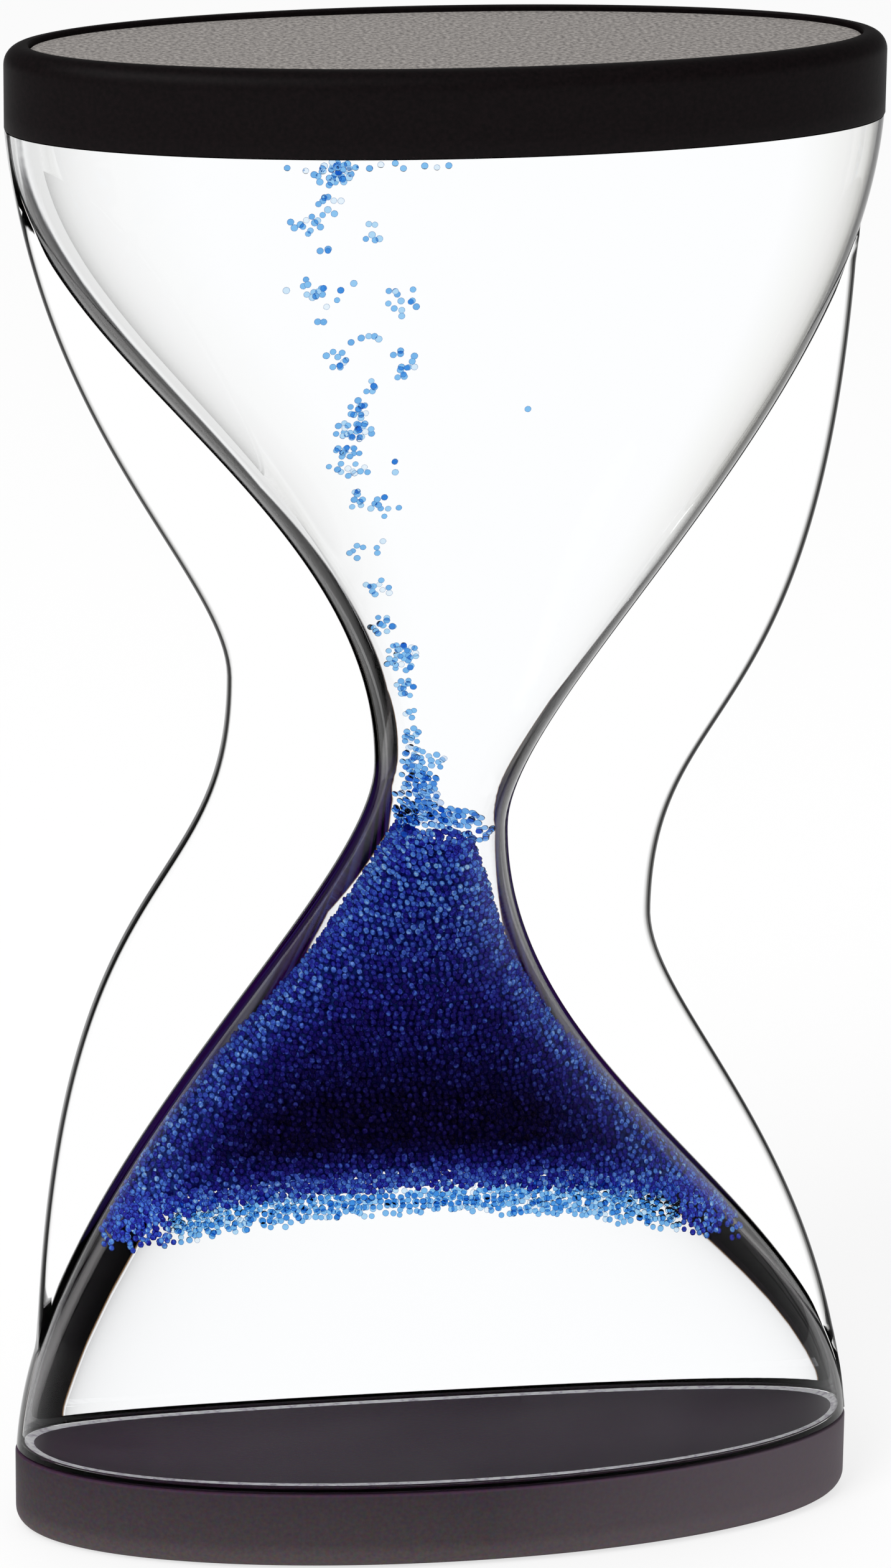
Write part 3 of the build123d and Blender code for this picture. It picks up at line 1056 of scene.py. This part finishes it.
def hollow_z(x, y):
    """Height of the hollow underside of the bed, which hangs a little lower on the right."""
    lift, fall_to_right = 1.0, 0.06
    dome = bed_hollow_top - bed_hollow_radius + math.sqrt(max(0.0, bed_hollow_radius**2 - x * x - y * y))
    return dome + lift - fall_to_right * x


def side_slope(z):
    """How far the sides of the bulb move sideways for each millimetre of height, on average."""
    left = bulb_left(z + 0.5) - bulb_left(z - 0.5)
    right = bulb_left(overall_height - z + 0.5) - bulb_left(overall_height - z - 0.5)
    return (abs(left) + abs(right)) / 2


def wall_beads(low_z, high_z, keep, layers, first=0):
    """Beads in uneven staggered rows along the chamber's wall, as far as keep() lets them stay."""
    row_step, gap, jitter = 1.75 * bead_radius, 2.02 * bead_radius, 0.45 * bead_radius
    steps_around = 720
    centres = []
    for layer in range(first, layers):
        inset = body_wall + bed_clearance + bead_radius * (1.5 + 1.6 * layer)
        z = low_z + row_step / 2 * layer
        row = layer
        while z <= high_z:
            centre, half_width, half_depth = bed_oval(z, inset)
            travelled = gap / 2 * (row % 2) + rng.uniform(0.0, jitter)
            last = None
            for step in range(steps_around + 1):
                angle = math.tau * step / steps_around
                point = (centre + half_width * math.cos(angle), half_depth * math.sin(angle))
                if last:
                    travelled += math.dist(point, last)
                last = point
                if travelled >= gap:
                    travelled -= gap * rng.uniform(0.94, 1.06)
                    inward = 1 - rng.uniform(0.0, 0.03)
                    bead = (
                        centre + (point[0] - centre) * inward + rng.uniform(-jitter, jitter) * 0.5,
                        point[1] * inward,
                        z + rng.uniform(-jitter, jitter),
                    )
                    if keep(bead):
                        centres.append(bead)
            z += row_step / math.hypot(1, side_slope(z))
            row += 1
    return centres


def scatter(count, centre, reach, apart=0.5, into=None):
    """Beads thrown into an oval cloud, none nearer than apart to another, as far as they find room."""
    thrown = into if into is not None else []
    tries = 30
    for _ in range(count):
        for _ in range(tries):
            direction = [rng.gauss(0, 1) for _ in range(3)]
            length = math.sqrt(sum(c * c for c in direction)) or 1.0
            share = rng.random() ** 0.5
            bead = tuple(c + r * share * d / length for c, r, d in zip(centre, reach, direction))
            if all(math.dist(bead, other) > apart for other in thrown):
                thrown.append(bead)
                break
    return thrown


def bed_depth(bead):
    """0 where few beads lie behind, 1 in the thick middle of the bed."""
    x, y, z = bead
    centre, half_width, half_depth = bed_oval(z, body_wall)
    across = min(1.0, abs(x - centre) / half_width)
    from_edge = clamped((z - hollow_z(x, y) - 0.6) / 4.2)
    from_top = clamped((bed_top_z - z) / 25.0)
    middle_share = (1 - across**5) * from_edge * from_top
    return min(1.0, middle_share * 1.1)


BED_ABOVE_HOLLOW = 0.7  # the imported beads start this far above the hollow's face
DEEP_LAYERS_END = 4.2  # and further layers behind them end this far above it
FRINGE_REACH = 1.6  # below and above the hollow's face
TIPS = (-23.0, 20.0)  # beyond these the fringe is as dark as the bed


def in_bed(bead):
    """The bed reaches down to its hollow, and its loose top slopes to the right and to the back."""
    x, y, z = bead
    top = bed_top_z - 0.13 * x - 0.17 * (y + 4.5) + rng.uniform(-0.7, 0.2)
    return hollow_z(x, y) + BED_ABOVE_HOLLOW < z < top


def in_fringe(bead):
    """The pale fringe on both sides of the hollow's face gets looser towards its ends."""
    above = bead[2] - hollow_z(bead[0], bead[1])
    if not -FRINGE_REACH < above <= FRINGE_REACH:
        return False
    return rng.random() < min(0.96, (above + FRINGE_REACH) / 0.9, (2.0 - above) / 1.2)


def near_hollow(bead):
    return BED_ABOVE_HOLLOW < bead[2] - hollow_z(bead[0], bead[1]) < DEEP_LAYERS_END


def at_tip(bead):
    return bead[0] < TIPS[0] or bead[0] > TIPS[1]


bed = wall_beads(bed_low[2] + 0.4, bed_top_z - bead_radius, in_bed, layers=2)
bed += wall_beads(bed_low[2] + 0.4, bed_hollow_top + 5.0, near_hollow, layers=4, first=2)
fringe = wall_beads(bed_low[2] - 1.5, bed_hollow_top + 1.0, in_fringe, layers=2)
bed += [bead for bead in fringe if at_tip(bead)]
fringe = [bead for bead in fringe if not at_tip(bead)]
stands_for = ("bead_bed",)  # the first quarter stands for the whole solid
for depth_name, depth_side in (("front", -1), ("back", 1)):
    for width_name, width_side in (("left", -1), ("right", 1)):
        quarter = [bead for bead in bed if bead[0] * width_side >= 0 and bead[1] * depth_side >= 0]
        name = f"bead_bed_{depth_name}_{width_name}"
        place(
            bead_cloud(name, quarter, packed_beads, fine=False, depth=bed_depth),
            "root",
            "bead_blue",
            *stands_for,
        )
        stands_for = ()
place(bead_cloud("bead_fringe", fringe, loose_beads), "root", "bead_blue")


def make_bed_heart():
    """Closed body just inside the outer beads of the bed, dark with painted shade."""
    inset = body_wall + bed_clearance + 2.8 * bead_radius
    above_hollow = 2.2  # the heart starts this far above the hollow's face
    count = 96
    levels = spread(bed_top_z - 2.6, bed_low[2] + 1.0, 40)
    loops = []
    for z in levels:
        loop = []
        centre, half_width, half_depth = bed_oval(z, inset)
        for step, (x, y, _) in enumerate(oval_loop(centre, half_width, half_depth, z, count)):
            height = z
            for _ in range(3):
                height = max(z, hollow_z(x, y) + above_hollow)
                middle_x, wide, deep = bed_oval(height, inset)
                turn = math.tau * step / count
                x, y = middle_x + wide * math.cos(turn), deep * math.sin(turn)
            loop.append((x, y, height))
        loops.append(loop)
    for share in spread(0.9, 0.1, 9):
        loop = []
        for x, y, _ in loops[len(levels) - 1]:
            loop.append((x * share, y * share, hollow_z(x * share, y * share) + above_hollow))
        loops.append(loop)
    vertices, faces = skin(loops, bottom=True, top=True)
    faces = [tuple(reversed(face)) for face in faces]
    heart = finish_mesh("bead_bed_heart", vertices, faces, heart_painted_shade, 60)
    layer = heart.data.attributes.new("depth_of_beads", "FLOAT", "POINT")
    layer.data.foreach_set("value", [bed_depth(vertex) for vertex in vertices])
    return heart


place(make_bed_heart(), "root", "bead_blue")

# ---- loose mound in the neck: number of beads, middle, reach and least distance ----
mound = scatter(24, (-1.5, 0.0, 67.6), (0.9, 0.5, 1.5), 0.46)
scatter(44, (-1.1, 0.0, 65.2), (1.6, 0.8, 1.3), 0.46, mound)
scatter(80, (-0.2, 0.2, 63.5), (2.7, 1.6, 1.0), 0.46, mound)
scatter(24, (-2.2, -0.8, 63.2), (0.9, 1.0, 1.4), 0.46, mound)
scatter(16, (2.2, -0.6, 62.4), (0.9, 1.0, 0.9), 0.46, mound)
place(bead_cloud("bead_mound", mound, loose_beads), "root", "bead_blue")

# ---- stream of rising beads, in the swarms that the frame moves: number of beads, middle and reach ----
streams = {
    "neck_beads": [
        (26, (-0.9, 0, 66.8), (1.3, 0.7, 0.9)),
        (10, (0.0, 0, 68.5), (0.7, 0.6, 0.8)),
        (12, (-1.5, 0, 69.3), (0.7, 0.7, 0.8)),
        (14, (-1.7, 0, 70.8), (0.6, 0.6, 0.9)),
    ],
    "lower_stream_beads": [
        (4, (-1.9, 0, 73.0), (0.7, 0.6, 0.5)),
        (12, (-2.2, 0, 75.3), (0.9, 0.8, 0.8)),
        (32, (-2.7, 0, 78.2), (1.2, 1.1, 1.5)),
        (14, (-4.0, 0, 81.2), (1.3, 1.0, 1.1)),
        (10, (-4.9, 0, 84.5), (1.2, 1.0, 1.0)),
    ],
    "middle_stream_beads": [
        (8, (-5.9, 0, 88.4), (1.5, 1.0, 1.6)),
        (10, (-4.6, 0, 92.0), (1.2, 1.0, 1.0)),
        (8, (-6.8, 0, 92.8), (0.8, 0.8, 0.9)),
        (12, (-7.6, 0, 95.2), (1.9, 1.2, 0.9)),
        (3, (-4.0, 0, 95.8), (0.2, 0.5, 1.4)),
        (14, (-7.9, 0, 96.9), (1.1, 1.0, 0.6)),
        (24, (-7.3, 0, 98.7), (1.6, 1.3, 0.9)),
        (14, (-7.0, 0, 100.4), (0.8, 0.9, 0.9)),
        (5, (-6.1, 0, 102.3), (0.8, 0.6, 0.8)),
        (1, (6.2, 0, 100.0), (0.01, 0.01, 0.01)),
    ],
    "upper_stream_beads": [
        (9, (-9.0, 0, 104.7), (1.3, 0.8, 0.9)),
        (5, (-7.2, 0, 106.4), (2.2, 0.8, 0.4)),
        (3, (-10.2, 0, 107.9), (0.6, 0.4, 0.1)),
        (17, (-10.4, 0, 110.3), (3.0, 1.6, 1.5)),
    ],
    "side_stream_beads": [
        (13, (-3.7, 0, 104.1), (1.1, 0.8, 1.7)),
        (12, (-3.8, 0, 109.4), (1.9, 1.2, 1.4)),
    ],
}
for node, groups in streams.items():
    high = node_box(node)[1]
    beads = []
    for count, centre, reach in groups:
        scatter(count, centre, reach, 0.5, beads)
    beads = [(x, y, min(z, high[2] - bead_radius)) for x, y, z in beads]
    body = f"{node}_swarm"
    place(bead_cloud(f"{node}_cloud", beads, loose_beads), body, "bead_blue", node)

# ---- beads that have risen to the ceiling ----
risen = scatter(32, (-9.5, 0, 119.8), (1.7, 1.3, 1.1), 0.5)
scatter(9, (-10.0, 0, 117.4), (1.7, 1.2, 1.0), 0.5, risen)
scatter(11, (-11.7, 0, 115.9), (1.6, 1.0, 0.9), 0.5, risen)
scatter(3, (-10.3, 0, 113.7), (0.8, 0.5, 0.1), 0.5, risen)
scatter(6, (-6.2, 0, 114.9), (0.9, 0.6, 1.3), 0.5, risen)
scatter(14, (-7.9, -10.4, ceiling_z - 0.8), (7.2, 0.3, 0.4), 0.9, risen)
risen = [(x, y, min(z, ceiling_z - bead_radius)) for x, y, z in risen]
place(bead_cloud("risen_beads_cloud", risen, loose_beads), "root", "bead_blue", "risen_beads")


# ---- stage ----
def make_floor():
    """A plain pale floor, wide enough for every view. Through clear parts it is plain white."""
    material, tree, output = new_material("pale_floor_paint")
    paint = add_node(
        tree,
        "ShaderNodeBsdfPrincipled",
        Base_Color=srgb("#fafafa"),
        Roughness=0.9,
        Specular_IOR_Level=0.1,
    )
    rays = add_node(tree, "ShaderNodeLightPath")
    white = add_node(tree, "ShaderNodeEmission", Color=srgb("#ffffff"), Strength=1.0)
    seen = add_node(
        tree,
        "ShaderNodeMath",
        {"operation": "MULTIPLY_ADD", "use_clamp": True},
        _0=rays.outputs["Is Camera Ray"],
        _1=0.7,
        _2=rays.outputs["Is Transmission Ray"],
    )
    lift = add_node(
        tree, "ShaderNodeMixShader", _0=seen.outputs[0], _1=paint.outputs[0], _2=white.outputs[0]
    )
    tree.links.new(lift.outputs[0], output.inputs["Surface"])
    mesh = bpy.data.meshes.new("pale_floor")
    half = 15.0
    corners = [(-half, -half, 0), (half, -half, 0), (half, half, 0), (-half, half, 0)]
    mesh.from_pydata(corners, [], [(0, 1, 2, 3)])
    mesh.materials.append(material)
    floor = bpy.data.objects.new("pale_floor", mesh)
    bpy.context.scene.collection.objects.link(floor)


def make_world():
    """Plain even light, seen as white by the camera and through clear parts, and dimmer in gloss."""
    world = bpy.data.worlds.new("studio")
    bpy.context.scene.world = world
    world.use_nodes = True
    tree = world.node_tree
    tree.nodes.clear()
    rays = add_node(tree, "ShaderNodeLightPath")
    strength = 0.8
    for kind, level in (("Is Glossy Ray", 0.3), ("Is Transmission Ray", 1.0), ("Is Camera Ray", 1.0)):
        strength = add_node(
            tree, "ShaderNodeMix", {"data_type": "FLOAT"}, _0=rays.outputs[kind], _2=strength, _3=level
        ).outputs[0]
    light = add_node(tree, "ShaderNodeBackground", Color=srgb("#ffffff"), Strength=strength)
    output = tree.nodes.new("ShaderNodeOutputWorld")
    tree.links.new(light.outputs[0], output.inputs["Surface"])


def make_lamp(name, location, target, size, power):
    """A round soft lamp that is turned to its target."""
    light = bpy.data.lights.new(name, "AREA")
    light.shape = "DISK"
    light.size = size
    light.energy = power
    lamp = bpy.data.objects.new(name, light)
    lamp.location = location
    bpy.context.scene.collection.objects.link(lamp)
    lamp.rotation_euler = (Vector(target) - Vector(location)).to_track_quat("-Z", "Y").to_euler()


make_floor()
make_world()
make_lamp("key_lamp", location=(-0.5, -0.5, 0.9), target=(0, 0, 0.06), size=0.6, power=6.0)

# ---- camera: a little to the left of the object and above it ----
focal_length = 157.211
sensor_side = 36.0
heading, tilt, roll = math.radians(-9.298), math.radians(17.908), math.radians(0.671)
camera_place = (-0.088562, -0.543431, 0.2438)

camera_data = bpy.data.cameras.new("camera")
camera_data.lens = focal_length
camera_data.sensor_width = sensor_side
camera_data.sensor_height = sensor_side
camera_data.sensor_fit = "VERTICAL"
camera_data.clip_start = 0.01
camera_data.clip_end = 20.0
camera = bpy.data.objects.new("camera", camera_data)
bpy.context.scene.collection.objects.link(camera)
turn = (
    Matrix.Rotation(heading, 4, "Z")
    @ Matrix.Rotation(math.pi / 2 - tilt, 4, "X")
    @ Matrix.Rotation(roll, 4, "Z")
)
camera.matrix_world = Matrix.Translation(camera_place) @ turn
bpy.context.scene.camera = camera
bpy.context.scene.view_settings.view_transform = "Standard"
